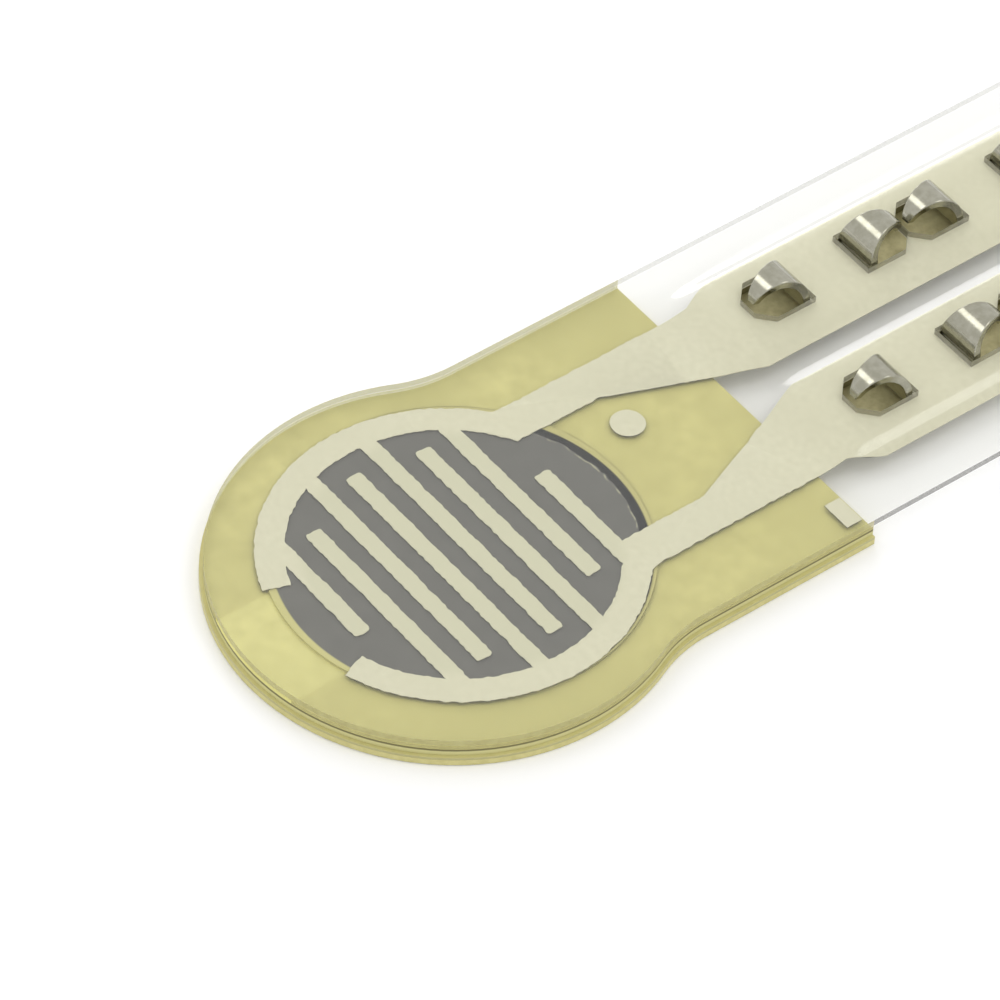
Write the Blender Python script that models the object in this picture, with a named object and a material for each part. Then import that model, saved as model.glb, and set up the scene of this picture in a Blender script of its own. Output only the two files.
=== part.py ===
"""Force sensing resistor: a round printed film head on a short tail with two crimped solder contacts.

The origin is on the underside, below the centre of the round head. The tail runs along +Y and
+Z is the side that is pressed. All lengths are in metres.
"""

import math

import bmesh
import bpy
from mathutils import Vector

MM = 0.001

# Thickness of each layer, from the bottom up
LINER_THICKNESS = 0.11 * MM
REAR_ADHESIVE_THICKNESS = 0.05 * MM
BASE_FILM_THICKNESS = 0.13 * MM
SPACER_THICKNESS = 0.07 * MM
TOP_FILM_THICKNESS = 0.125 * MM
INK_THICKNESS = 0.045 * MM
SILVER_THICKNESS = 0.012 * MM

# The silver print under the top film, measured from the middle of its ring
PRINT_SHIFT = (-0.11 * MM, 0.21 * MM)
RING_INNER_RADIUS = 2.60 * MM
RING_WIDTH = 0.46 * MM
RING_GAP_ANGLE = math.radians(40)
FINGER_COUNT = 8
FINGER_WIDTH = 0.29 * MM
FINGER_END_GAP = 0.40 * MM
OUTER_FINGER_INSET = 0.068 * MM
PRINT_CORNER = 0.05 * MM
LEAD_INNER = 1.30 * MM
LEAD_WIDTH = 0.70 * MM
LEAD_ROOT_FILLET = 0.30 * MM
LEAD_TAPER = 2.6 * MM
TAPER_START_TO_STACK_END = 1.77 * MM
PAD_WIDTH = 2.0 * MM
PAD_STEP = 0.6 * MM
PAD_STEP_PAST_PLATE_START = 0.13 * MM
PAD_TO_FILM_END = 0.3 * MM
DOT_RADIUS = 0.285 * MM
DOT_FROM_MIDDLE = 0.61 * MM
DOT_TO_RING = 0.85 * MM
BAR_SIZE = (0.56 * MM, 0.30 * MM)
BAR_INSET = (0.21 * MM, 0.06 * MM)

# The ink disc, and the opening in the spacer over it
SPACER_HOLE_MARGIN = 0.33 * MM
SPACER_HOLE_SHIFT = (0.0, 0.05 * MM)
INK_LAP = 0.13 * MM
INK_SHIFT = (0.0, 0.11 * MM)
VENT_WIDTH = 2.0 * MM

# The crimp contacts, folded from one strip of sheet metal each
CONTACT_PITCH = 2.54 * MM
CONTACT_SHIFT = -0.07 * MM
METAL = 0.23 * MM
TINE_METAL = 0.14 * MM
PLATE_WIDTH = 1.50 * MM
PLATE_END_RAIL = 0.17 * MM
PLATE_SHOULDER = 0.5 * MM
PLATE_CORNER = 0.12 * MM
ROOT_BRIDGE = 1.10 * MM
TINE_WIDTH = 0.84 * MM
TINE_TIP_WIDTH = 0.16 * MM
TINE_CURL_RADIUS = 0.46 * MM
TINE_CURL_ANGLE = math.radians(170)
TINE_BEND_INSIDE = 0.04 * MM
TINE_RISE = 0.08 * MM
TINE_RELIEF = 0.10 * MM
PIN_WIDTH = 0.64 * MM
PIN_LENGTH = 3.4 * MM
FOLD_GAP = 0.01 * MM

# Outline of the laminated head and the tail, seen from above
HEAD_MARGIN = 0.68 * MM
TAIL_MARGIN = 0.93 * MM
ROOT_FILLET = 2.5 * MM
STACK_END = 5.88 * MM
BACKING_RIM = 0.06 * MM
FILM_PAST_PLATE = 0.13 * MM

# How the free film lies over the contacts, and its openings over their tines
LIFT_RUN = 1.0 * MM
SHOULDER_RUN = 0.30 * MM
VALLEY_SHARE = 0.35
SEAT_GAP = 0.003 * MM
OPENING_CLEARANCE = 0.03 * MM
OPENING_WEB = 0.04 * MM
OPENING_STRAIGHT = 0.78 * MM
OPENING_TIP_WIDTH = 0.36 * MM

# Facets, and how far cutters run past what they cut
HEAD_STEP = math.radians(3)
PRINT_STEP = math.radians(4)
DOT_STEP = math.radians(10)
LEAD_ROOT_STEP = math.radians(15)
TINE_BEND_STEP = math.radians(23)
PIN_FOLD_STEP = math.radians(30)
SHARP_EDGE = math.radians(35)
FILLET_STEPS = 4
CURL_STEPS = 16
LIFT_STEPS = 6
SHOULDER_STEPS = 3
CUTTER_REACH = 0.2 * MM
DIVIDE_NEAR = 0.0001 * MM

# Heights and places that follow from the sizes above
REAR_ADHESIVE_BOTTOM = LINER_THICKNESS
BASE_FILM_BOTTOM = REAR_ADHESIVE_BOTTOM + REAR_ADHESIVE_THICKNESS
SPACER_BOTTOM = BASE_FILM_BOTTOM + BASE_FILM_THICKNESS
PRINT_PLANE = SPACER_BOTTOM + SPACER_THICKNESS
PLATE_TOP = 2 * METAL + FOLD_GAP
TAIL_LIFT = PLATE_TOP + SEAT_GAP + SILVER_THICKNESS - PRINT_PLANE
RING_OUTER_RADIUS = RING_INNER_RADIUS + RING_WIDTH
OUTER_FINGER_ROW = RING_INNER_RADIUS - FINGER_END_GAP - OUTER_FINGER_INSET
FINGER_PITCH = 2 * OUTER_FINGER_ROW / (FINGER_COUNT - 1)
SPACER_HOLE_RADIUS = RING_INNER_RADIUS + SPACER_HOLE_MARGIN
INK_RADIUS = SPACER_HOLE_RADIUS + INK_LAP
HEAD_RADIUS = RING_OUTER_RADIUS + HEAD_MARGIN
TAIL_WIDTH = CONTACT_PITCH + PAD_WIDTH + 2 * TAIL_MARGIN
PLATE_START = STACK_END + LIFT_RUN
CONTACT_MIDDLE = PRINT_SHIFT[0] + CONTACT_SHIFT
CONTACT_PLACES = (CONTACT_MIDDLE - CONTACT_PITCH / 2, CONTACT_MIDDLE + CONTACT_PITCH / 2)

# The tines of a contact, from its plate's front edge: where each leaves the plate, and which way
# it curls along the tail. The middle two face each other over one window in the plate, and a web
# of film is left between their openings.
TINE_TIP_GAP = 2 * OPENING_CLEARANCE + OPENING_WEB
TINE_BEND_RADIUS = TINE_BEND_INSIDE + METAL / 2
TINE_MIDDLE_RADIUS = TINE_CURL_RADIUS - TINE_METAL / 2
TINE_REACH = TINE_BEND_RADIUS + 2 * TINE_MIDDLE_RADIUS + TINE_METAL / 2
FIRST_ROOT = PLATE_END_RAIL + TINE_TIP_GAP + TINE_REACH
SECOND_ROOT = FIRST_ROOT + ROOT_BRIDGE
THIRD_ROOT = SECOND_ROOT + 2 * TINE_REACH + TINE_TIP_GAP
FOURTH_ROOT = THIRD_ROOT + ROOT_BRIDGE
TINES = ((FIRST_ROOT, -1), (SECOND_ROOT, 1), (THIRD_ROOT, -1), (FOURTH_ROOT, 1))
LAST_WINDOW_END = FOURTH_ROOT + TINE_REACH + TINE_TIP_GAP
PLATE_WINDOWS = ((PLATE_END_RAIL, FIRST_ROOT), (SECOND_ROOT, THIRD_ROOT), (FOURTH_ROOT, LAST_WINDOW_END))
PLATE_LENGTH = LAST_WINDOW_END + PLATE_END_RAIL
FILM_END = PLATE_START + PLATE_LENGTH + PLATE_SHOULDER + FILM_PAST_PLATE


def clear_scene():
    for obj in list(bpy.data.objects):
        bpy.data.objects.remove(obj, do_unlink=True)


def linear(value):
    share = value / 255
    if share <= 0.04045:
        return share / 12.92
    return ((share + 0.055) / 1.055) ** 2.4


def material(name, colour, roughness, metallic=0.0, alpha=1.0):
    made = bpy.data.materials.new(name)
    made.use_nodes = True
    shader = made.node_tree.nodes["Principled BSDF"]
    rgba = [linear(value) for value in colour] + [1.0]
    shader.inputs["Base Color"].default_value = rgba
    shader.inputs["Roughness"].default_value = roughness
    shader.inputs["Metallic"].default_value = metallic
    shader.inputs["Alpha"].default_value = alpha
    made.diffuse_color = rgba[:3] + [alpha]
    return made


def link_object(name, mesh, finish, parent=None, place=(0.0, 0.0, 0.0)):
    obj = bpy.data.objects.new(name, mesh)
    bpy.context.scene.collection.objects.link(obj)
    if finish is not None:
        mesh.materials.append(finish)
    obj.parent = parent
    obj.location = place
    return obj


def arc(centre, radius, start, end, step):
    """Points along an arc, both ends included, never further apart than the step angle."""
    count = max(2, math.ceil(abs(end - start) / step))
    points = []
    for i in range(count + 1):
        angle = start + (end - start) * i / count
        points.append((centre[0] + radius * math.cos(angle), centre[1] + radius * math.sin(angle)))
    return points


def rounded_corner(before, corner, after, radius):
    """The arc that rounds one right-angled corner of an outline."""
    back = Vector(before) - Vector(corner)
    on = Vector(after) - Vector(corner)
    back.normalize()
    on.normalize()
    centre = Vector(corner) + (back + on) * radius
    points = []
    for i in range(FILLET_STEPS + 1):
        angle = math.pi / 2 * i / FILLET_STEPS
        points.append(tuple(centre - on * radius * math.cos(angle) - back * radius * math.sin(angle)))
    return points


def root_arc(radius, side, fillet, step):
    """The concave arc between a round head and a straight side, from the side down to the head.

    It returns the points and the angle on the head where the arc ends.
    """
    reach = math.sqrt((radius + fillet) ** 2 - (side + fillet) ** 2)
    meet = math.atan2(reach, side + fillet)
    return arc((side + fillet, reach), fillet, math.pi, math.pi + meet, step), meet


def head_outline(end, grow=0.0):
    """The round head with its neck: every laminated layer has this outline."""
    radius = HEAD_RADIUS + grow
    side = TAIL_WIDTH / 2 + grow
    root, meet = root_arc(radius, side, ROOT_FILLET - grow, HEAD_STEP)
    head = arc((0.0, 0.0), radius, meet, -math.pi - meet, HEAD_STEP)
    mirrored_root = [(-x, y) for x, y in reversed(root)]
    return [(side, end)] + root + head[1:-1] + mirrored_root + [(-side, end)]


def finger_rows(side):
    """Heights of the fingers that one half of the print carries, the one nearest the tail first."""
    rows = []
    for k in range(FINGER_COUNT - 1, -1, -1):
        if (k % 2 == 0) == (side < 0):
            rows.append(k * FINGER_PITCH - OUTER_FINGER_ROW)
    return rows


def comb_outline(side):
    """One half of the silver print: tail pad, lead, half ring and fingers, as one closed line.

    The half is drawn on the +X side, then turned over for the -X side. Its fingers reach across
    the middle line to end a fixed gap short of the other half's ring.
    """
    lead_outer = LEAD_INNER + LEAD_WIDTH
    pad_inner = (CONTACT_PITCH - PAD_WIDTH) / 2
    pad_outer = pad_inner + PAD_WIDTH
    pad_end = FILM_END - PAD_TO_FILM_END - PRINT_SHIFT[1]
    pad_start = PLATE_START + PAD_STEP_PAST_PLATE_START - PRINT_SHIFT[1]
    taper_start = STACK_END - TAPER_START_TO_STACK_END - PRINT_SHIFT[1]
    ring_end = -math.pi / 2 + RING_GAP_ANGLE / 2
    line = [(pad_inner, pad_end), (pad_inner, taper_start + LEAD_TAPER), (LEAD_INNER, taper_start)]
    angle = math.acos(LEAD_INNER / RING_INNER_RADIUS)
    for row in finger_rows(side):
        top = row + FINGER_WIDTH / 2
        bottom = row - FINGER_WIDTH / 2
        tip = -math.sqrt((RING_INNER_RADIUS - FINGER_END_GAP) ** 2 - row**2)
        top_angle = math.asin(top / RING_INNER_RADIUS)
        if top_angle < angle:
            line += arc((0.0, 0.0), RING_INNER_RADIUS, angle, top_angle, PRINT_STEP)
        else:
            line.append((LEAD_INNER, top))
        root_x = RING_INNER_RADIUS * math.cos(top_angle)
        line += rounded_corner((root_x, top), (tip, top), (tip, bottom), PRINT_CORNER)
        line += rounded_corner((tip, top), (tip, bottom), (root_x, bottom), PRINT_CORNER)
        angle = math.asin(bottom / RING_INNER_RADIUS)
    line += arc((0.0, 0.0), RING_INNER_RADIUS, angle, ring_end, PRINT_STEP)
    root, meet = root_arc(RING_OUTER_RADIUS, lead_outer, LEAD_ROOT_FILLET, LEAD_ROOT_STEP)
    line += arc((0.0, 0.0), RING_OUTER_RADIUS, ring_end, meet, PRINT_STEP)[:-1]
    line += reversed(root)
    line += [(lead_outer, pad_start - PAD_STEP), (pad_outer, pad_start), (pad_outer, pad_end)]
    return [(side * x, y) for x, y in line]


def smooth_step(share):
    share = min(1.0, max(0.0, share))
    return share * share * (3 - 2 * share)


def tail_lift(x, y):
    """How far the free film stands above the head's print plane, at a place in the part's frame."""
    along = smooth_step((y - STACK_END) / LIFT_RUN)
    over_plate = 0.0
    for place in CONTACT_PLACES:
        beyond = abs(x - place) - PLATE_WIDTH / 2
        over_plate = max(over_plate, 1 - smooth_step(beyond / SHOULDER_RUN))
    floor = VALLEY_SHARE if CONTACT_PLACES[0] < x < CONTACT_PLACES[1] else 0.0
    return TAIL_LIFT * along * (floor + (1 - floor) * over_plate)


def lift_cuts():
    """Where the free film is divided, so that it can bend along and across the tail."""
    across = [CONTACT_PLACES[0], CONTACT_PLACES[1]]
    for place in CONTACT_PLACES:
        for side in (-1, 1):
            for i in range(SHOULDER_STEPS + 1):
                run = SHOULDER_RUN * i / SHOULDER_STEPS
                across.append(place + side * (PLATE_WIDTH / 2 + run))
    along = [STACK_END + LIFT_RUN * i / LIFT_STEPS for i in range(LIFT_STEPS + 1)]
    return across, along


def divide(shape, point, normal, faces=None):
    """Splits faces along a plane, and leaves both halves."""
    faces = shape.faces[:] if faces is None else faces
    edges = {edge for face in faces for edge in face.edges}
    verts = {vert for face in faces for vert in face.verts}
    geometry = list(verts) + list(edges) + list(faces)
    bmesh.ops.bisect_plane(shape, geom=geometry, plane_co=point, plane_no=normal, dist=DIVIDE_NEAR)


def sheet_mesh(name, outlines, thickness, lift_from=None):
    """A flat sheet with the shape of one or more outlines. With lift_from, it also follows the lift
    of the tail: lift_from is where the sheet's own origin lies in the part's frame.
    """
    shape = bmesh.new()
    for outline in outlines:
        face = shape.faces.new([shape.verts.new((x, y, 0.0)) for x, y in outline])
        face.normal_update()
    if lift_from is not None:
        across, along = lift_cuts()
        for y in along:
            divide(shape, Vector((0, y - lift_from[1], 0)), Vector((0, 1, 0)))
        free_from = STACK_END - lift_from[1]
        for x in across:
            free = [face for face in shape.faces if face.calc_center_bounds().y > free_from]
            divide(shape, Vector((x - lift_from[0], 0, 0)), Vector((1, 0, 0)), free)
    bmesh.ops.triangulate(shape, faces=shape.faces[:])
    grown = bmesh.ops.extrude_face_region(shape, geom=shape.faces[:])
    raised = [item for item in grown["geom"] if isinstance(item, bmesh.types.BMVert)]
    bmesh.ops.translate(shape, verts=raised, vec=(0, 0, thickness))
    if lift_from is not None:
        for vert in shape.verts:
            vert.co.z += tail_lift(vert.co.x + lift_from[0], vert.co.y + lift_from[1])
    bmesh.ops.recalc_face_normals(shape, faces=shape.faces[:])
    mesh = bpy.data.meshes.new(name)
    shape.to_mesh(mesh)
    shape.free()
    return mesh


def cutter(name, mesh, parent=None, place=(0.0, 0.0, 0.0)):
    obj = link_object(name, mesh, None, parent, place)
    obj.hide_render = True
    obj.display_type = "WIRE"
    return obj


def cut(target, tool):
    change = target.modifiers.new("cut by " + tool.name, "BOOLEAN")
    change.operation = "DIFFERENCE"
    change.solver = "EXACT"
    change.object = tool


def rectangle(low_x, high_x, low_y, high_y):
    return [(low_x, low_y), (high_x, low_y), (high_x, high_y), (low_x, high_y)]


def circle(radius, centre=(0.0, 0.0)):
    return arc(centre, radius, 0.0, 2 * math.pi, HEAD_STEP)[:-1]


def tine_openings():
    """One cutter for every opening in the film and the print: each has the blank of its tine."""
    side = TINE_WIDTH / 2 + OPENING_CLEARANCE
    tip = OPENING_TIP_WIDTH / 2
    reach = TINE_REACH + OPENING_CLEARANCE
    profile = [(side, 0.0), (side, OPENING_STRAIGHT), (tip, reach)]
    profile += [(-x, run) for x, run in reversed(profile)]
    outlines = []
    for place in CONTACT_PLACES:
        for root, way in TINES:
            outlines.append([(place + x, PLATE_START + root + way * run) for x, run in profile])
    height = TAIL_LIFT + TOP_FILM_THICKNESS + 2 * CUTTER_REACH
    mesh = sheet_mesh("tine_openings", outlines, height)
    return cutter("tine_openings", mesh, None, (0.0, 0.0, PRINT_PLANE - CUTTER_REACH))


def tine_path():
    """The middle line of a tine's sheet, as (run, up) from where it leaves the plate.

    It bends up through the film and curls over its own opening, down to the print again.
    """
    path = arc((0.0, TINE_BEND_RADIUS), TINE_BEND_RADIUS, -math.pi / 2, 0.0, TINE_BEND_STEP)
    middle = (TINE_BEND_RADIUS + TINE_MIDDLE_RADIUS, TINE_BEND_RADIUS + TINE_RISE)
    end = math.pi - TINE_CURL_ANGLE
    return path + arc(middle, TINE_MIDDLE_RADIUS, math.pi, end, TINE_CURL_ANGLE / CURL_STEPS)


def tine_width_at(share):
    """A tine narrows evenly along its curl, to a point that can pierce."""
    return TINE_WIDTH + (TINE_TIP_WIDTH - TINE_WIDTH) * share


def grid_vert(shape, found, x, y, z=0.0):
    key = (round(x / MM, 6), round(y / MM, 6), round(z / MM, 6))
    if key not in found:
        found[key] = shape.verts.new((x, y, z))
    return found[key]


def contact_mesh(name):
    """The middle surface of one contact: plate with windows, four tines, pin and lower half.

    Its own origin is on the middle line of the plate's front edge. Solidify gives it its metal,
    full on the plate and the pin, and coined thinner on the tines. It returns the mesh and the
    numbers of the tines' own points.
    """
    shape = bmesh.new()
    found = {}
    half = PLATE_WIDTH / 2
    window = TINE_WIDTH / 2 + TINE_RELIEF
    inner = [-window, -TINE_WIDTH / 2, TINE_WIDTH / 2, window]
    columns = [-half] + inner + [half]
    front = [PLATE_CORNER - half] + inner + [half - PLATE_CORNER]
    rows = {0.0, PLATE_LENGTH}
    for low, high in PLATE_WINDOWS:
        rows.update((low, high))
    rows = sorted(rows)
    for low, high in zip(rows, rows[1:]):
        for left, right in zip(columns, columns[1:]):
            in_window = any(start <= low and high <= end for start, end in PLATE_WINDOWS)
            if not in_window or abs(left + right) / 2 > window:
                near = (left, right)
                if low == 0.0:
                    near = [front[columns.index(x)] for x in near]
                corners = [(near[0], low), (near[1], low), (right, high), (left, high)]
                shape.faces.new([grid_vert(shape, found, x, y) for x, y in corners])
    add_pin(shape, found, columns, front)
    first_coined = len(shape.verts)
    for root, way in TINES:
        add_tine(shape, found, root, way)
    coined = list(range(first_coined, len(shape.verts)))
    bmesh.ops.recalc_face_normals(shape, faces=shape.faces[:])
    mesh = bpy.data.meshes.new(name)
    shape.to_mesh(mesh)
    shape.free()
    return mesh, coined


def add_tine(shape, found, root, way):
    path = tine_path()
    last = len(path) - 1
    straight = last - CURL_STEPS
    for i in range(last):
        ends = []
        for j in (i, i + 1):
            run, up = path[j]
            half = tine_width_at(max(0, j - straight) / CURL_STEPS) / 2
            ends.append([(-half, root + way * run, up), (half, root + way * run, up)])
        corners = ends[0] + ends[1][::-1]
        shape.faces.new([grid_vert(shape, found, *corner) for corner in corners])


def add_pin(shape, found, columns, front):
    """The plate narrows to the pin, and the strip is folded back at its tip to lie under both.

    The lower half closes the plate's windows from below, and is what the contact stands on.
    """
    strips = len(columns) - 1
    pin_columns = [PIN_WIDTH * (i / strips - 0.5) for i in range(strips + 1)]
    drop = METAL + FOLD_GAP
    pin_end = FILM_END - PLATE_START + PIN_LENGTH
    shoulder_end = PLATE_LENGTH + PLATE_SHOULDER
    fold = arc((pin_end - drop / 2, -drop / 2), drop / 2, math.pi / 2, -math.pi / 2, PIN_FOLD_STEP)
    stations = [(PLATE_LENGTH, 0.0, columns), (shoulder_end, 0.0, pin_columns)]
    stations += [(y, z, pin_columns) for y, z in fold]
    stations += [(shoulder_end, -drop, pin_columns), (PLATE_LENGTH, -drop, columns)]
    stations += [(PLATE_END_RAIL, -drop, columns), (0.0, -drop, front)]
    for (y0, z0, line0), (y1, z1, line1) in zip(stations, stations[1:]):
        for i in range(strips):
            near = [(line0[i], y0, z0), (line0[i + 1], y0, z0)]
            far = [(line1[i + 1], y1, z1), (line1[i], y1, z1)]
            shape.faces.new([grid_vert(shape, found, *corner) for corner in near + far])


def make_contact(name, place, finish):
    """One contact; its sheet lies against the underside of the print."""
    mesh, coined = contact_mesh(name)
    sheet = PLATE_TOP - METAL / 2
    obj = link_object(name, mesh, finish, None, (place, PLATE_START, sheet))
    full = obj.vertex_groups.new(name="full thickness")
    full.add(list(range(coined[0])), 1.0, "REPLACE")
    metal = obj.modifiers.new("sheet thickness", "SOLIDIFY")
    metal.thickness = METAL
    metal.offset = 0.0
    metal.use_even_offset = True
    metal.vertex_group = full.name
    metal.thickness_vertex_group = TINE_METAL / METAL
    obj.data.shade_smooth()
    obj.data.set_sharp_from_angle(angle=SHARP_EDGE)


def make_backing(rear_finish, liner_finish):
    """The release liner and the rear adhesive stand a little proud of the layers above them."""
    outline = head_outline(STACK_END, BACKING_RIM)
    liner = sheet_mesh("release_liner", [outline], LINER_THICKNESS)
    link_object("release_liner", liner, liner_finish)
    adhesive = sheet_mesh("rear_adhesive", [outline], REAR_ADHESIVE_THICKNESS)
    link_object("rear_adhesive", adhesive, rear_finish, None, (0.0, 0.0, REAR_ADHESIVE_BOTTOM))


def make_base(base_finish, ink_finish, datum):
    """The base film with the round patch of carbon ink on it."""
    base = sheet_mesh("base_film", [head_outline(STACK_END)], BASE_FILM_THICKNESS)
    link_object("base_film", base, base_finish, None, (0.0, 0.0, BASE_FILM_BOTTOM))
    ink = sheet_mesh("carbon_disc", [circle(INK_RADIUS, INK_SHIFT)], INK_THICKNESS)
    link_object("carbon_disc", ink, ink_finish, datum, (0.0, 0.0, SPACER_BOTTOM))


def spacer_outline():
    """The head's outline, open over the ink and along the vent: one line, in at the rim and back out."""
    middle_x = PRINT_SHIFT[0] + SPACER_HOLE_SHIFT[0]
    middle_y = PRINT_SHIFT[1] + SPACER_HOLE_SHIFT[1]
    left = middle_x - VENT_WIDTH / 2
    right = middle_x + VENT_WIDTH / 2
    mouth = math.asin(VENT_WIDTH / 2 / SPACER_HOLE_RADIUS)
    start = -math.pi / 2 + mouth
    hole = arc((middle_x, middle_y), SPACER_HOLE_RADIUS, start, start + 2 * (math.pi - mouth), HEAD_STEP)
    root, meet = root_arc(HEAD_RADIUS, TAIL_WIDTH / 2, ROOT_FILLET, HEAD_STEP)
    right_mouth = -math.acos(right / HEAD_RADIUS)
    left_mouth = 2 * math.pi - math.acos(left / HEAD_RADIUS)
    rim_right = arc((0.0, 0.0), HEAD_RADIUS, right_mouth, meet, HEAD_STEP)
    rim_left = arc((0.0, 0.0), HEAD_RADIUS, math.pi - meet, left_mouth, HEAD_STEP)
    neck_right = list(reversed(root))[1:] + [(TAIL_WIDTH / 2, STACK_END)]
    neck_left = [(-x, y) for x, y in reversed(neck_right)]
    return rim_right + neck_right + neck_left + rim_left + list(reversed(hole))


def make_spacer(finish, datum, print_outlines):
    """The spacer: open over the ink and along the vent, with the beds of the print and the ink."""
    mesh = sheet_mesh("spacer_adhesive", [spacer_outline()], SPACER_THICKNESS)
    spacer = link_object("spacer_adhesive", mesh, finish, None, (0.0, 0.0, SPACER_BOTTOM))
    print_height = SILVER_THICKNESS + CUTTER_REACH
    print_bed = sheet_mesh("print_bed", print_outlines.values(), print_height)
    cut(spacer, cutter("print_bed", print_bed, datum, (0.0, 0.0, PRINT_PLANE - SILVER_THICKNESS)))
    ink_bed = sheet_mesh("ink_bed", [circle(INK_RADIUS, INK_SHIFT)], CUTTER_REACH + INK_THICKNESS)
    cut(spacer, cutter("ink_bed", ink_bed, datum, (0.0, 0.0, SPACER_BOTTOM - CUTTER_REACH)))


def print_shapes():
    """The outline of every piece of silver print, measured from the middle of the ring."""
    dot_place = (-DOT_FROM_MIDDLE, RING_OUTER_RADIUS + DOT_TO_RING)
    right = TAIL_WIDTH / 2 - BAR_INSET[0] - PRINT_SHIFT[0]
    top = STACK_END - BAR_INSET[1] - PRINT_SHIFT[1]
    return {
        "silver_trace_left": comb_outline(-1),
        "silver_trace_right": comb_outline(1),
        "silver_dot": arc(dot_place, DOT_RADIUS, 0.0, 2 * math.pi, DOT_STEP)[:-1],
        "silver_bar": rectangle(right - BAR_SIZE[0], right, top - BAR_SIZE[1], top),
    }


def make_print(outlines, finish, datum, openings):
    """The silver print hangs under the top film, and its pads take the contacts' tines."""
    for name, outline in outlines.items():
        on_tail = name.startswith("silver_trace")
        mesh = sheet_mesh(name, [outline], SILVER_THICKNESS, PRINT_SHIFT if on_tail else None)
        obj = link_object(name, mesh, finish, datum, (0.0, 0.0, PRINT_PLANE - SILVER_THICKNESS))
        if on_tail:
            cut(obj, openings)


def make_top_film(finish, openings):
    """The clear film that carries the print and, past the head, is the whole tail."""
    mesh = sheet_mesh("top_film", [head_outline(FILM_END)], TOP_FILM_THICKNESS, (0.0, 0.0))
    film = link_object("top_film", mesh, finish, None, (0.0, 0.0, PRINT_PLANE))
    cut(film, openings)


def main():
    clear_scene()
    yellow_film = material("yellow_film", (203, 197, 137), 0.45)
    yellow_liner = material("yellow_liner", (206, 203, 120), 0.50)
    yellow_adhesive = material("yellow_adhesive", (206, 200, 142), 0.40)
    carbon_ink = material("carbon_ink", (120, 119, 114), 0.60)
    silver_ink = material("silver_ink", (210, 207, 184), 0.55)
    clear_film = material("clear_film", (238, 238, 232), 0.12, alpha=0.30)
    tinned_metal = material("tinned_metal", (190, 187, 172), 0.30, metallic=1.0)

    datum = bpy.data.objects.new("print_datum", None)
    bpy.context.scene.collection.objects.link(datum)
    datum.location = (PRINT_SHIFT[0], PRINT_SHIFT[1], 0.0)

    outlines = print_shapes()
    openings = tine_openings()
    make_backing(yellow_adhesive, yellow_liner)
    make_base(yellow_film, carbon_ink, datum)
    make_spacer(yellow_adhesive, datum, outlines)
    make_print(outlines, silver_ink, datum, openings)
    make_top_film(clear_film, openings)
    for name, place in zip(("contact_left", "contact_right"), CONTACT_PLACES):
        make_contact(name, place, tinned_metal)


main()
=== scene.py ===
import math

import bmesh
import bpy
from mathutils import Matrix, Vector, noise


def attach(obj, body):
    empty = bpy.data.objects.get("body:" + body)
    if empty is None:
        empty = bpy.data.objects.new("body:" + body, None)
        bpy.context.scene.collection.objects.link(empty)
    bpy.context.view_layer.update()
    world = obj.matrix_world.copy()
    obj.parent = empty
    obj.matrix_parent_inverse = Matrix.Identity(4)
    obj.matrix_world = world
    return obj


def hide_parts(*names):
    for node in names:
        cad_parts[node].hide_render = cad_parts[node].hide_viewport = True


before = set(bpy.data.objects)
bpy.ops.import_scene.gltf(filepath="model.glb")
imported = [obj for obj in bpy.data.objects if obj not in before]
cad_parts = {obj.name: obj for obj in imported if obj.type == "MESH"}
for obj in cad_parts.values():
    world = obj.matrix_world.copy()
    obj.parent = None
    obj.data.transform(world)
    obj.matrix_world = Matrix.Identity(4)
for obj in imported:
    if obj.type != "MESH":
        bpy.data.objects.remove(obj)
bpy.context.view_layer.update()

MM = 0.001


# The table that the sensor lies on, and the light over it. A white sweep in a light tent, lit evenly
# from all round, with one soft light behind, a lamp over the tail and a small one at the left.
scene = bpy.context.scene
scene.view_settings.view_transform = "Standard"

camera_data = bpy.data.cameras.new("camera")
camera_data.lens = 246.4
camera_data.sensor_width = 36
camera_data.shift_y = -0.0015
camera_data.clip_start = 0.001
camera_data.clip_end = 10
camera = bpy.data.objects.new("camera", camera_data)
scene.collection.objects.link(camera)
camera.location = (54.311 * MM, -45.806 * MM, 77.630 * MM)
camera.rotation_euler = (math.radians(43.0864), math.radians(-2.8247), math.radians(52.2740))
scene.camera = camera


LAMP_DISTANCE = 0.20


def soft_light(name, direction, size, power):
    """A square soft light that faces the middle of what the camera sees."""
    data = bpy.data.lights.new(name, "AREA")
    data.size = size
    data.energy = power
    light = bpy.data.objects.new(name, data)
    aim = Vector((0.0, 3.0 * MM, 0.0))
    light.location = aim + Vector(direction).normalized() * LAMP_DISTANCE
    light.rotation_euler = (aim - light.location).to_track_quat("-Z", "Y").to_euler()
    scene.collection.objects.link(light)


soft_light("light from behind", (-0.83, 0.45, 0.34), size=0.08, power=0.09)
soft_light("lamp over the tail", (0.28, 0.43, 0.86), size=0.07, power=0.045)
soft_light("small lamp at the left", (-0.515, -0.286, 0.808), size=0.06, power=0.022)

world = bpy.data.worlds.new("room")
world.use_nodes = True
tent = world.node_tree.nodes["Background"]
tent.inputs["Color"].default_value = (1.0, 1.0, 1.0, 1.0)
tent.inputs["Strength"].default_value = 0.95
scene.world = world

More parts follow.
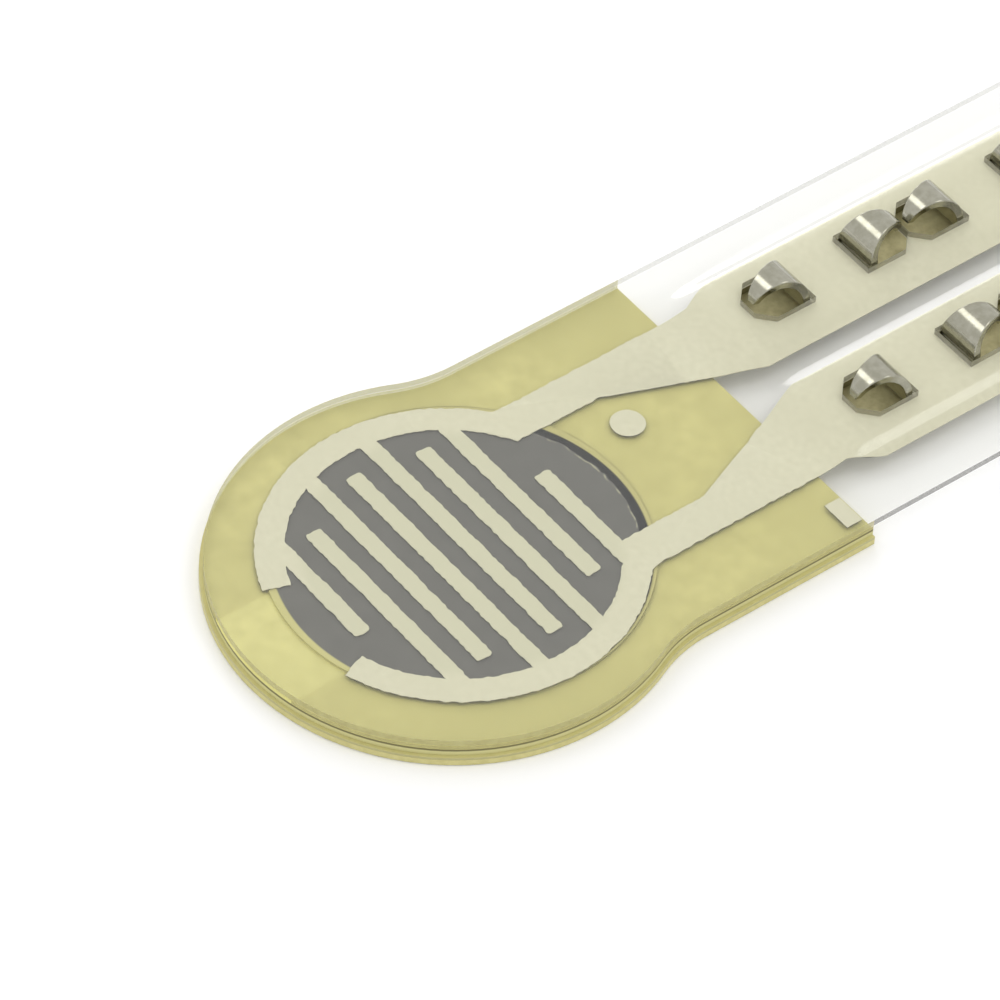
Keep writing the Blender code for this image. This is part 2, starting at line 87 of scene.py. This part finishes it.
table_mesh = bpy.data.meshes.new("table")
HALF_TABLE = 0.5
TABLE_DROP = 0.01 * MM
around = ((-1, -1), (1, -1), (1, 1), (-1, 1))
corners = [(x * HALF_TABLE, y * HALF_TABLE, -TABLE_DROP) for x, y in around]
table_mesh.from_pydata(corners, [], [(0, 1, 2, 3)])
table = bpy.data.objects.new("table", table_mesh)
scene.collection.objects.link(table)
table_paint = bpy.data.materials.new("white table")
table_paint.use_nodes = True
shader = table_paint.node_tree.nodes["Principled BSDF"]
shader.inputs["Base Color"].default_value = (0.98, 0.98, 0.98, 1.0)
shader.inputs["Roughness"].default_value = 0.95
shader.inputs["Specular IOR Level"].default_value = 0.1
table_mesh.materials.append(table_paint)


# The release liner under the rear adhesive: yellow-green coated paper film, die-cut in one stroke
# with the layers over it and left slightly proud of them all round, held on by the adhesive only.
SAME_POINT = 0.0002 * MM
CREASE = math.radians(50)
LEVEL_FACE = 0.9
UPRIGHT_FACE = 0.5


def die_cut(node, name, eased=0.0, gap=0.0, wave=0.0, parting=None):
    """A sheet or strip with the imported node's own shape, in place of that node.

    eased rounds its sharp edges a little, as a die leaves them. gap draws its faces in, where it
    lies against something see-through. wave gives its outline the small waves of a printed edge.
    parting divides its faces at a place along the tail, where its cut edge changes its finish.
    """
    shape = bmesh.new()
    shape.from_mesh(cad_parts[node].data)
    bmesh.ops.remove_doubles(shape, verts=shape.verts[:], dist=SAME_POINT)
    bmesh.ops.recalc_face_normals(shape, faces=shape.faces[:])
    if parting:
        everything = shape.verts[:] + shape.edges[:] + shape.faces[:]
        bmesh.ops.bisect_plane(shape, geom=everything, plane_co=(0, parting, 0), plane_no=(0, 1, 0))
        bmesh.ops.dissolve_degenerate(shape, dist=SAME_POINT, edges=shape.edges[:])
    if wave:
        roughen(shape, wave)
    if gap:
        shape.normal_update()
        moves = [vert.normal * gap for vert in shape.verts]
        for vert, move in zip(shape.verts, moves):
            vert.co -= move
    mesh = bpy.data.meshes.new(name)
    shape.to_mesh(mesh)
    shape.free()
    if "custom_normal" in mesh.attributes:
        mesh.attributes.remove(mesh.attributes["custom_normal"])
    sheet = bpy.data.objects.new(name, mesh)
    scene.collection.objects.link(sheet)
    if eased:
        easing = sheet.modifiers.new("eased edges", "BEVEL")
        easing.width = eased
        easing.segments = 2
        easing.limit_method = "ANGLE"
        easing.angle_limit = CREASE
    mesh.shade_smooth()
    mesh.set_sharp_from_angle(angle=CREASE)
    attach(sheet, "root")
    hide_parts(node)
    return sheet


def pigment(red, green, blue):
    """A colour of 0 to 255 as on a screen, turned into the linear one that the shaders take."""
    values = []
    for value in (red, green, blue):
        share = value / 255
        values.append(share / 12.92 if share <= 0.04045 else ((share + 0.055) / 1.055) ** 2.4)
    return (*values, 1.0)


def new_finish(name):
    """A material with one Principled shader, wired to its output, for nodes to feed."""
    finish = bpy.data.materials.new(name)
    finish.use_nodes = True
    return finish, finish.node_tree, finish.node_tree.nodes["Principled BSDF"]


def ramp(tree, value, start, end):
    """A share that goes from 0 to 1 while a value goes from start to end."""
    step = tree.nodes.new("ShaderNodeMapRange")
    step.inputs["From Min"].default_value = start
    step.inputs["From Max"].default_value = end
    tree.links.new(value, step.inputs["Value"])
    return step.outputs["Result"]


def mottle(tree, size, low=0.35, high=0.65, detail=3.0, stretch=(1.0, 1.0, 1.0)):
    """Cloudy variation from 0 to 1, with patches of about the given size."""
    spot = tree.nodes.new("ShaderNodeTexCoord")
    scale = tree.nodes.new("ShaderNodeMapping")
    scale.inputs["Scale"].default_value = [share / size for share in stretch]
    cloud = tree.nodes.new("ShaderNodeTexNoise")
    cloud.inputs["Scale"].default_value = 1.0
    cloud.inputs["Detail"].default_value = detail
    tree.links.new(spot.outputs["Object"], scale.inputs["Vector"])
    tree.links.new(scale.outputs["Vector"], cloud.inputs["Vector"])
    return ramp(tree, cloud.outputs["Fac"], low, high)


def tint(tree, share, first, second):
    """Blends two colours, or two colour outputs, by a share from 0 to 1."""
    blend = tree.nodes.new("ShaderNodeMix")
    blend.data_type = "RGBA"
    tree.links.new(share, blend.inputs["Factor"])
    for socket, colour in ((blend.inputs[6], first), (blend.inputs[7], second)):
        if isinstance(colour, tuple):
            socket.default_value = colour
        else:
            tree.links.new(colour, socket)
    return blend.outputs[2]


def reckon(tree, operation, *values):
    """One step of arithmetic on numbers and number outputs."""
    step = tree.nodes.new("ShaderNodeMath")
    step.operation = operation
    for socket, value in zip(step.inputs, values):
        if isinstance(value, float):
            socket.default_value = value
        else:
            tree.links.new(value, socket)
    return step.outputs["Value"]


def faces_up(tree):
    """1 where the surface faces straight up, 0 where it is upright, -1 where it faces down."""
    turned = tree.nodes.new("ShaderNodeNewGeometry")
    split = tree.nodes.new("ShaderNodeSeparateXYZ")
    tree.links.new(turned.outputs["Normal"], split.inputs["Vector"])
    return split.outputs["Z"]


def cut_face(tree):
    """1 on the upright faces that the die cut, 0 on the flat faces of a sheet."""
    return ramp(tree, reckon(tree, "ABSOLUTE", faces_up(tree)), LEVEL_FACE, UPRIGHT_FACE)


def relief(tree, shader, height, depth):
    """Fine relief on a surface, from a pattern of 0 to 1 and its depth in metres."""
    bump = tree.nodes.new("ShaderNodeBump")
    bump.inputs["Distance"].default_value = depth
    tree.links.new(height, bump.inputs["Height"])
    tree.links.new(bump.outputs["Normal"], shader.inputs["Normal"])


def vary(tree, share, low, high, socket):
    """Feeds a socket with a number that follows a share from 0 to 1."""
    span = tree.nodes.new("ShaderNodeMapRange")
    span.inputs["To Min"].default_value = low
    span.inputs["To Max"].default_value = high
    tree.links.new(share, span.inputs["Value"])
    tree.links.new(span.outputs["Result"], socket)


liner_finish, tree, shader = new_finish("yellow-green liner")
liner_clouds = mottle(tree, 0.7 * MM)
liner_face = tint(tree, liner_clouds, pigment(192, 189, 116), pigment(185, 183, 108))
liner_cut = tint(tree, mottle(tree, 0.12 * MM), pigment(208, 200, 137), pigment(197, 189, 126))
tree.links.new(tint(tree, cut_face(tree), liner_face, liner_cut), shader.inputs["Base Color"])
vary(tree, liner_clouds, 0.42, 0.55, shader.inputs["Roughness"])
relief(tree, shader, mottle(tree, 0.05 * MM), 0.002 * MM)
liner = die_cut("release_liner", "liner_sheet", eased=0.012 * MM)
liner.data.materials.append(liner_finish)


# The rear adhesive: a soft clear film of glue with a yellow cast, rolled on between base film and
# liner and die-cut with them. Its cut edge is painted somewhat darker than its face.
rear_finish, tree, shader = new_finish("rear adhesive")
rear_clouds = mottle(tree, 0.3 * MM)
rear_face = tint(tree, rear_clouds, pigment(205, 198, 136), pigment(197, 190, 128))
rear_cut = tint(tree, mottle(tree, 0.15 * MM), pigment(175, 169, 117), pigment(180, 174, 122))
tree.links.new(tint(tree, cut_face(tree), rear_face, rear_cut), shader.inputs["Base Color"])
vary(tree, rear_clouds, 0.3, 0.45, shader.inputs["Roughness"])
rear = die_cut("rear_adhesive", "rear_adhesive_sheet", eased=0.008 * MM)
rear.data.materials.append(rear_finish)


# The base film: polyester with a yellow cast, die-cut with the rest. Its face shows through the
# spacer, faintly clouded where the glue has wetted it. Its cut edge is painted with a dark line of
# shadow along its upper part, and painted a lighter yellow below that line.
LIGHTER_BAND_TOP = 0.245 * MM
SHADOW_LINE_TOP = 0.29 * MM
LINE_SOFTNESS = 0.008 * MM


def place(tree, axis):
    """Where the surface lies along one axis of the part, in metres."""
    spot = tree.nodes.new("ShaderNodeTexCoord")
    split = tree.nodes.new("ShaderNodeSeparateXYZ")
    tree.links.new(spot.outputs["Object"], split.inputs["Vector"])
    return split.outputs[axis]


base_finish, tree, shader = new_finish("yellow base film")
broad = mottle(tree, 2.2 * MM, low=0.3, high=0.7, detail=2.0)
fine = mottle(tree, 0.35 * MM, low=0.3, high=0.7, detail=4.0)
base_face = tint(tree, broad, pigment(227, 221, 142), pigment(205, 200, 124))
base_face = tint(tree, fine, base_face, pigment(208, 202, 126))
base_cut = tint(tree, mottle(tree, 0.2 * MM), pigment(188, 180, 124), pigment(177, 169, 114))
# Painted shadow: a dark line on the upper part of the cut edge, with a lighter band below it.
for top, tone in ((SHADOW_LINE_TOP, pigment(112, 106, 64)), (LIGHTER_BAND_TOP, pigment(204, 199, 142))):
    below = ramp(tree, place(tree, "Z"), top + LINE_SOFTNESS, top - LINE_SOFTNESS)
    base_cut = tint(tree, below, base_cut, tone)
tree.links.new(tint(tree, cut_face(tree), base_face, base_cut), shader.inputs["Base Color"])
vary(tree, fine, 0.4, 0.55, shader.inputs["Roughness"])
relief(tree, shader, mottle(tree, 0.6 * MM), 0.001 * MM)
base = die_cut("base_film", "base_sheet", eased=0.004 * MM)
base.data.materials.append(base_finish)


# The ink disc: carbon-filled resistive ink, screen-printed on the base film and baked. Its rim is
# darker where the spacer's glue has wetted it, and past the rim it thins out to the yellow film.
# A broken pale line inside the dark band is painted highlight: light caught by the spacer's cut
# edge.
INK_MIDDLE = (-0.05 * MM, 0.325 * MM)
INK_COVER_RADIUS = 2.955 * MM
INK_THINNING = (INK_COVER_RADIUS - 0.01 * MM, INK_COVER_RADIUS + 0.02 * MM)
INK_DRY_RADIUS = 2.84 * MM
WET_SOFTNESS = 0.01 * MM
GLUE_CREEP = 0.05 * MM
GLINT_BACK = 0.024 * MM
GLINT_WIDTH = 0.022 * MM
VENT_END = -2.0 * MM
VENT_SOFTNESS = 0.02 * MM


def reach_from(tree, middle):
    """How far the surface lies from a point of a sheet, measured along the sheet."""
    spot = tree.nodes.new("ShaderNodeTexCoord")
    offset = tree.nodes.new("ShaderNodeVectorMath")
    offset.operation = "MULTIPLY_ADD"
    offset.inputs[1].default_value = (1.0, 1.0, 0.0)
    offset.inputs[2].default_value = (-middle[0], -middle[1], 0.0)
    distance = tree.nodes.new("ShaderNodeVectorMath")
    distance.operation = "LENGTH"
    tree.links.new(spot.outputs["Object"], offset.inputs[0])
    tree.links.new(offset.outputs["Vector"], distance.inputs[0])
    return distance.outputs["Value"]


ink_finish, tree, shader = new_finish("carbon ink")
grain = mottle(tree, 0.3 * MM, low=0.3, high=0.7)
dry = tint(tree, grain, pigment(104, 103, 97), pigment(100, 99, 93))
wet = tint(tree, grain, pigment(20, 20, 15), pigment(12, 12, 8))
reach = reach_from(tree, INK_MIDDLE)
uneven = mottle(tree, 0.22 * MM, low=0.3, high=0.7, detail=2.0)
creep = reckon(tree, "MULTIPLY_ADD", uneven, GLUE_CREEP, reach)
wetted = ramp(tree, creep, INK_DRY_RADIUS - WET_SOFTNESS, INK_DRY_RADIUS + WET_SOFTNESS)
under_glue = ramp(tree, place(tree, "Y"), VENT_END - VENT_SOFTNESS, VENT_END)
ink_tone = tint(tree, reckon(tree, "MULTIPLY", wetted, under_glue), dry, wet)
# Painted highlight: a broken pale line where the spacer's cut edge lies over the ink.
painted_glint = reckon(tree, "COMPARE", creep, INK_DRY_RADIUS - GLINT_BACK, GLINT_WIDTH / 2)
gaps = mottle(tree, 0.16 * MM, low=0.45, high=0.6, detail=2.0)
broken = reckon(tree, "MULTIPLY", painted_glint, gaps)
ink_tone = tint(tree, reckon(tree, "MULTIPLY", broken, under_glue), ink_tone, pigment(166, 166, 137))
ink_tone = tint(tree, ramp(tree, reach, *INK_THINNING), ink_tone, pigment(203, 197, 131))
tree.links.new(ink_tone, shader.inputs["Base Color"])
shader.inputs["Specular IOR Level"].default_value = 0.2
vary(tree, grain, 0.55, 0.7, shader.inputs["Roughness"])
ink = die_cut("carbon_disc", "ink_patch")
ink.data.materials.append(ink_finish)


# The spacer: a sheet of nearly clear glue with a yellow cast, die-cut with a hole over the ink and
# a vent to the rim. It bonds the top film to the base film and holds the fingers off the ink.
SEE_THROUGH_GAP = 0.004 * MM
HEAD_FRONT = -4.0 * MM
HEAD_END = 5.88 * MM
HEAD_END_MARGIN = 0.01 * MM
RIM_RADIUS = 3.70 * MM
RIM_SIDE = 3.15 * MM
NECK = 2.5 * MM
OUTER_EDGE = 1


def clear_sheet(name, tone, index, roughness, haze):
    """A see-through sheet, with a share of milky haze and a shine on the side that faces out."""
    finish, tree, shader = new_finish(name)
    tree.nodes.remove(shader)
    passing = tree.nodes.new("ShaderNodeBsdfTransparent")
    passing.inputs["Color"].default_value = tone
    milky = tree.nodes.new("ShaderNodeBsdfDiffuse")
    milky.inputs["Color"].default_value = (0.93, 0.93, 0.92, 1.0)
    body = tree.nodes.new("ShaderNodeMixShader")
    body.inputs["Fac"].default_value = haze
    tree.links.new(passing.outputs["BSDF"], body.inputs[1])
    tree.links.new(milky.outputs["BSDF"], body.inputs[2])
    shine = tree.nodes.new("ShaderNodeBsdfGlossy")
    shine.inputs["Roughness"].default_value = roughness
    facing = tree.nodes.new("ShaderNodeFresnel")
    facing.inputs["IOR"].default_value = index
    side = tree.nodes.new("ShaderNodeNewGeometry")
    outer = reckon(tree, "SUBTRACT", 1.0, side.outputs["Backfacing"])
    face = tree.nodes.new("ShaderNodeMixShader")
    tree.links.new(reckon(tree, "MULTIPLY", outer, facing.outputs["Fac"]), face.inputs["Fac"])
    tree.links.new(body.outputs["Shader"], face.inputs[1])
    tree.links.new(shine.outputs["BSDF"], face.inputs[2])
    tree.links.new(face.outputs["Shader"], tree.nodes["Material Output"].inputs["Surface"])
    return finish


def cut_edge(name, cover, first, second, pale):
    """The cut edge of a clear sheet: hazy where the die sheared it, and covering by a share.

    From inside, through the sheet, it is painted paler: a painted glow for the light that runs in
    there.
    """
    finish, tree, shader = new_finish(name)
    streaks = mottle(tree, 0.12 * MM)
    inside = tree.nodes.new("ShaderNodeNewGeometry").outputs["Backfacing"]
    hazy = tint(tree, streaks, first, second)
    # Painted glow: faces seen from inside, through the sheet, take the paler tone.
    tree.links.new(tint(tree, inside, hazy, pale), shader.inputs["Base Color"])
    vary(tree, streaks, 0.3, 0.5, shader.inputs["Roughness"])
    shader.inputs["Alpha"].default_value = cover
    return finish


def give_edge(sheet, finish, from_y, to_y):
    """Gives a sheet's outer cut faces one of its finishes, between two places along the tail."""
    for face in sheet.data.polygons:
        x, y, z = face.center
        outside = abs(x) > RIM_SIDE or y > HEAD_END or (y < NECK and math.hypot(x, y) > RIM_RADIUS)
        if abs(face.normal.z) < UPRIGHT_FACE and outside and from_y < y < to_y:
            face.material_index = finish


spacer = die_cut("spacer_adhesive", "spacer_sheet", gap=SEE_THROUGH_GAP)
spacer_tone = (0.994, 0.990, 0.975, 1.0)
spacer_clear = clear_sheet("spacer adhesive", spacer_tone, index=1.05, roughness=0.3, haze=0.0)
spacer_edge_tones = (pigment(173, 166, 112), pigment(164, 156, 105), pigment(228, 225, 160))
spacer.data.materials.append(spacer_clear)
spacer.data.materials.append(cut_edge("spacer edge", 0.75, *spacer_edge_tones))
give_edge(spacer, OUTER_EDGE, HEAD_FRONT, HEAD_END + HEAD_END_MARGIN)


# The silver print under the top film: polymer silver ink, screen-printed in one pass as two halves
# of an interleaved comb with leads and pads, a dot and a bar. The screen's threads leave its edges
# slightly wavy.
TRACE_WAVE = 0.022 * MM
MARK_WAVE = 0.006 * MM
WAVE_LENGTH = 0.08 * MM
WAVE_POINTS = 0.025 * MM
WAVE_FADE = 0.3 * MM
SIDEWAYS_PATTERN = 0.5
LENGTHWAYS_PATTERN = 7.5
LEVEL_WITHIN = 0.001 * MM
FLAT_WITHIN = math.radians(0.5)
OUTLINE_FOLD = math.radians(60)
FINGER_REACH = 2.5 * MM
FINGER_SOFTNESS = 0.1 * MM


def roughen(shape, wave):
    """Divides the outline of a print finely and moves it along smooth small waves.

    The waves fade out at the head's end, where the print starts to climb with the film.
    """
    parts = {"verts": shape.verts[:], "edges": shape.edges[:]}
    bmesh.ops.dissolve_limit(shape, angle_limit=FLAT_WITHIN, **parts)
    outline = []
    for edge in shape.edges:
        if len(edge.link_faces) == 2 and edge.calc_face_angle(0.0) > OUTLINE_FOLD:
            ends = edge.verts[0].co, edge.verts[1].co
            if abs(ends[0].z - ends[1].z) < LEVEL_WITHIN and min(ends[0].y, ends[1].y) < HEAD_END:
                outline.append(edge)
    for edge in outline:
        start = edge.verts[0]
        for i in range(int(edge.calc_length() / WAVE_POINTS), 1, -1):
            start = bmesh.utils.edge_split(edge, start, 1.0 / i)[1]
    for vert in shape.verts:
        x, y = vert.co.x / WAVE_LENGTH, vert.co.y / WAVE_LENGTH
        fade = min(1.0, max(0.0, (HEAD_END - vert.co.y) / WAVE_FADE))
        vert.co.x += wave * fade * noise.noise(Vector((x, y, SIDEWAYS_PATTERN)))
        vert.co.y += wave * fade * noise.noise(Vector((x, y, LENGTHWAYS_PATTERN)))
    bmesh.ops.triangulate(shape, faces=[face for face in shape.faces if len(face.verts) > 3])


silver_finish, tree, shader = new_finish("silver print")
silver_grain = mottle(tree, 0.12 * MM, low=0.3, high=0.7)
silver_broad = mottle(tree, 1.2 * MM)
silver_tone = tint(tree, silver_broad, pigment(219, 216, 189), pigment(215, 212, 184))
silver_tone = tint(tree, silver_grain, silver_tone, pigment(211, 208, 180))
reach = reach_from(tree, INK_MIDDLE)
over_ink = ramp(tree, reach, FINGER_REACH + FINGER_SOFTNESS, FINGER_REACH - FINGER_SOFTNESS)
silver_tone = tint(tree, over_ink, silver_tone, pigment(206, 204, 175))
tree.links.new(silver_tone, shader.inputs["Base Color"])
vary(tree, silver_grain, 0.5, 0.65, shader.inputs["Roughness"])
relief(tree, shader, silver_grain, 0.0004 * MM)
prints = (
    ("silver_trace_left", "print_left", TRACE_WAVE),
    ("silver_trace_right", "print_right", TRACE_WAVE),
    ("silver_dot", "print_dot", MARK_WAVE),
    ("silver_bar", "print_bar", MARK_WAVE),
)
for node, name, wave in prints:
    silver = die_cut(node, name, wave=wave)
    silver.data.materials.append(silver_finish)


# The top film: clear polyester, die-cut with the layers under the head and running on alone as the
# tail. The glue holds it at the head, and the contacts' tines hold it at the pads.
TAIL_EDGE = 2
OPENING_EDGE = 3
TAIL_BACK = 20.0 * MM
PAD_REACH = 2.6 * MM
LAST_OPENING = 14.0 * MM
film = die_cut("top_film", "film_sheet", gap=SEE_THROUGH_GAP, parting=HEAD_END)
film_tone = (0.985, 0.985, 0.975, 1.0)
head_tones = (pigment(179, 173, 120), pigment(170, 163, 111), pigment(207, 203, 155))
# Painted shade: the tail's and the openings' cut edges are dark grey for the dark look of a clear
# film's edge.
tail_tones = (pigment(97, 96, 93), pigment(85, 83, 80), pigment(247, 247, 247))
opening_tones = (pigment(135, 131, 109), pigment(110, 106, 87), pigment(148, 144, 120))
finishes = (
    clear_sheet("clear film", film_tone, index=1.58, roughness=0.12, haze=0.025),
    cut_edge("film edge at the head", 0.75, *head_tones),
    cut_edge("film edge of the tail", 0.65, *tail_tones),
    cut_edge("film edge at the openings", 0.7, *opening_tones),
)
for finish in finishes:
    film.data.materials.append(finish)
give_edge(film, OUTER_EDGE, HEAD_FRONT, HEAD_END)
give_edge(film, TAIL_EDGE, HEAD_END, TAIL_BACK)
for face in film.data.polygons:
    among_pads = abs(face.center.x) < PAD_REACH and face.center.y < LAST_OPENING
    if face.material_index == TAIL_EDGE and among_pads:
        face.material_index = OPENING_EDGE


# The crimp contacts: tin-plated phosphor-bronze strip, each stamped in one piece and folded double
# along its plate and pin. The tines are pushed up through film and print and curled over, and bare
# bronze shows inside the fold.
FOLD_HEIGHT = 0.235 * MM
FOLD_SOFTNESS = 0.01 * MM
tin_finish, tree, shader = new_finish("tinned strip")
tin_clouds = mottle(tree, 0.12 * MM)
tin_lines = mottle(tree, 0.02 * MM, low=0.3, high=0.7, stretch=(1.0, 0.08, 1.0))
tin_tone = tint(tree, tin_clouds, pigment(174, 172, 157), pigment(162, 160, 144))
bare_tone = tint(tree, tin_clouds, pigment(216, 208, 160), pigment(200, 192, 143))
in_fold = ramp(tree, place(tree, "Z"), FOLD_HEIGHT + FOLD_SOFTNESS, FOLD_HEIGHT)
bare = reckon(tree, "MULTIPLY", ramp(tree, faces_up(tree), 0.0, 1.0), in_fold)
tree.links.new(tint(tree, bare, tin_tone, bare_tone), shader.inputs["Base Color"])
vary(tree, bare, 1.0, 0.3, shader.inputs["Metallic"])
vary(tree, bare, 0.16, 0.6, shader.inputs["Roughness"])
relief(tree, shader, tin_lines, 0.0003 * MM)
for side in ("left", "right"):
    contact = die_cut("contact_" + side, "crimp_" + side, eased=0.015 * MM)
    contact.data.materials.append(tin_finish)
